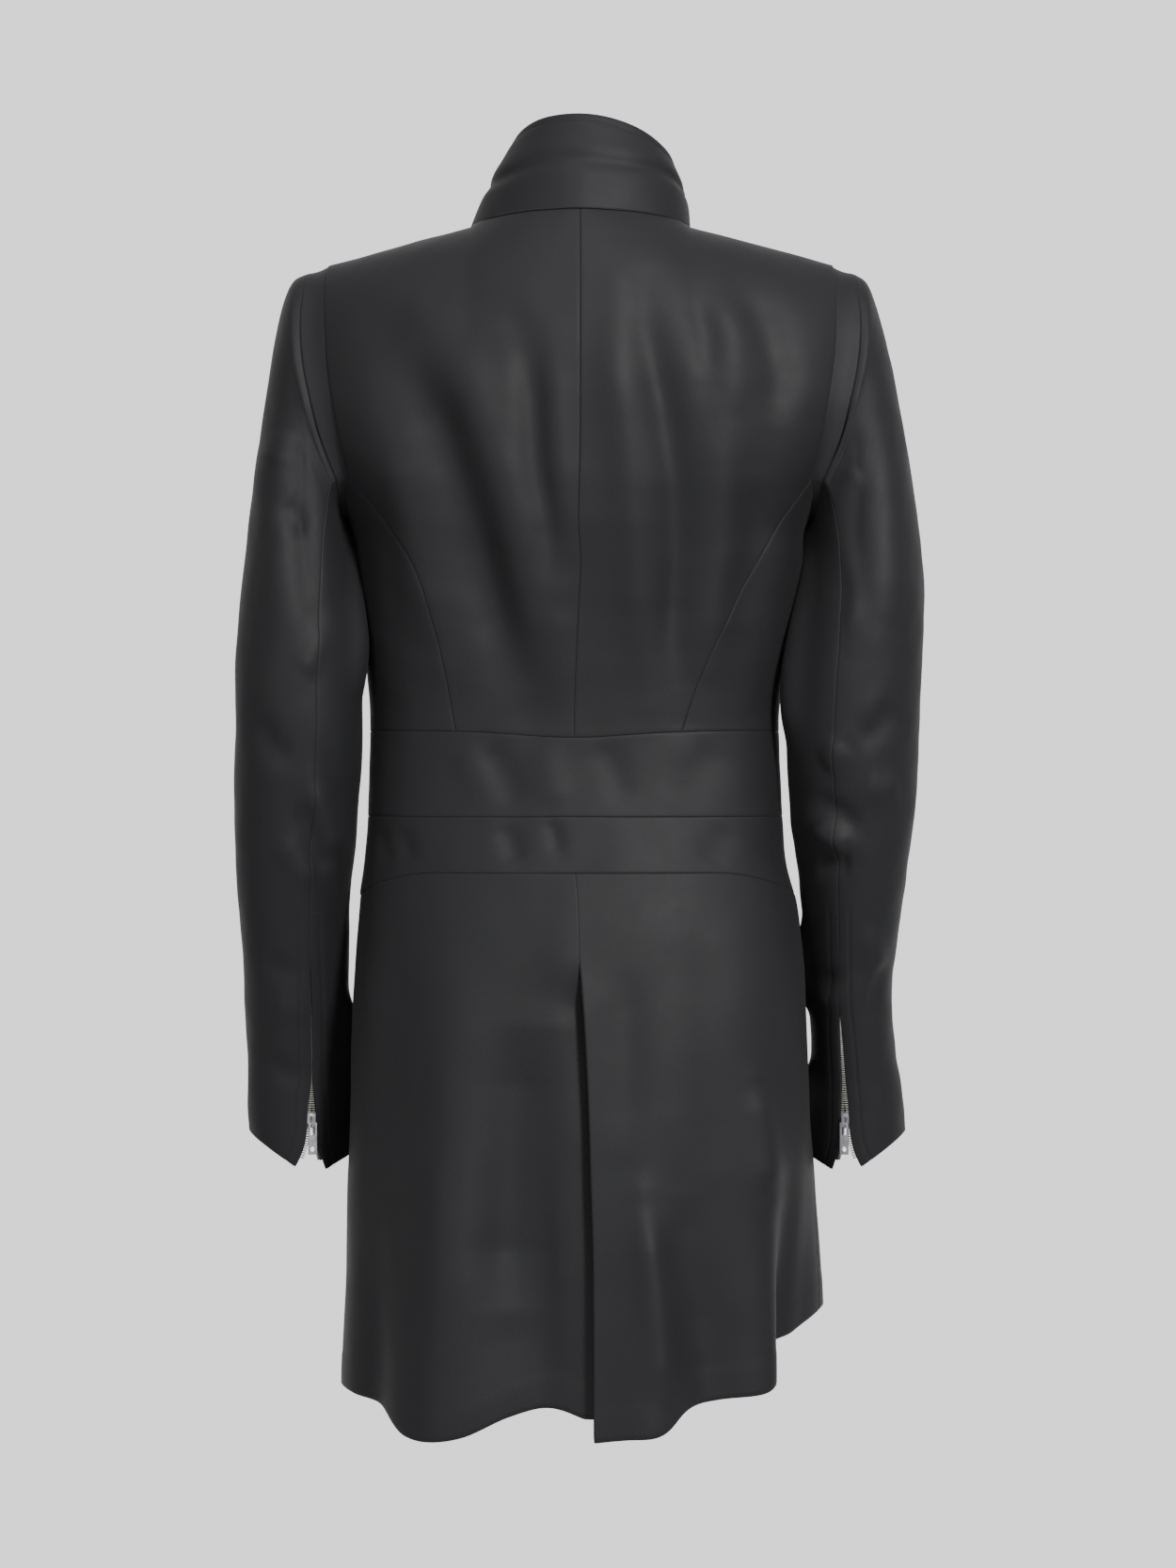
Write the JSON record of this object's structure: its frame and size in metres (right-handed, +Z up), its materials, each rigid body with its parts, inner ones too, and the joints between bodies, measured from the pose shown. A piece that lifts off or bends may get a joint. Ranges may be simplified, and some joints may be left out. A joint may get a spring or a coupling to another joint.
{
  "type": "raincoat",
  "caption": "Black fitted woman's raincoat, hollow as worn, with a high funnel collar, princess seams, two waist bands, a flared skirt with a back vent and zipped cuffs.",
  "frame": {"origin": "middle of the neck opening, 7 mm above the centre back collar seam, where the coat hangs on the shoulders of whoever or whatever wears it", "axes": "+Z up, -Y the coat's front, +X the wearer's left"},
  "size_m": [0.5158, 0.2903, 0.9708],
  "materials": {
    "cloth": "fine black twill with a faint sheen",
    "zip_tape": "matt woven tape",
    "zip_metal": "nickel plate, lightly brushed",
    "button": "semi-gloss"
  },
  "bodies": {
    "coat": {"back_left": "cloth", "back_right": "cloth", "side_back_left": "cloth", "side_back_right": "cloth", "side_front_left": "cloth", "side_front_right": "cloth", "front_left": "cloth", "front_right": "cloth", "waist_band_back": "cloth", "waist_band_front_left": "cloth", "waist_band_front_right": "cloth", "hip_band_back": "cloth", "hip_band_front_left": "cloth", "hip_band_front_right": "cloth", "skirt_back_left": "cloth", "skirt_back_right": "cloth", "skirt_front_left": "cloth", "skirt_front_right": "cloth", "collar": "cloth", "armhole_band_left": "cloth", "armhole_band_right": "cloth", "upper_sleeve_left": "cloth", "upper_sleeve_right": "cloth", "under_sleeve_left": "cloth", "under_sleeve_right": "cloth", "zip_tape_outer_left": "zip_tape", "zip_tape_inner_left": "zip_tape", "zip_tape_outer_right": "zip_tape", "zip_tape_inner_right": "zip_tape", "zip_slider_left": "zip_metal", "zip_slider_right": "zip_metal", "button_1": "button", "button_2": "button", "button_3": "button", "button_4": "button", "button_5": "button", "button_6": "button", "button_7": "button"},
    "pull_left": {"zip_pull_left": "zip_metal"},
    "pull_right": {"zip_pull_right": "zip_metal"}
  },
  "joints": [
    {"name": "left_pull_swing", "type": "hinge", "parent": "coat", "child": "pull_left", "pos_m": [0.20138, 0.0086, -0.68608], "axis": [0.9059, 0.4236, 0], "range_deg": [0, 140]},
    {"name": "right_pull_swing", "type": "hinge", "parent": "coat", "child": "pull_right", "pos_m": [-0.1983, 0.00859, -0.68609], "axis": [0.8917, -0.4526, 0], "range_deg": [0, 140]}
  ]
}
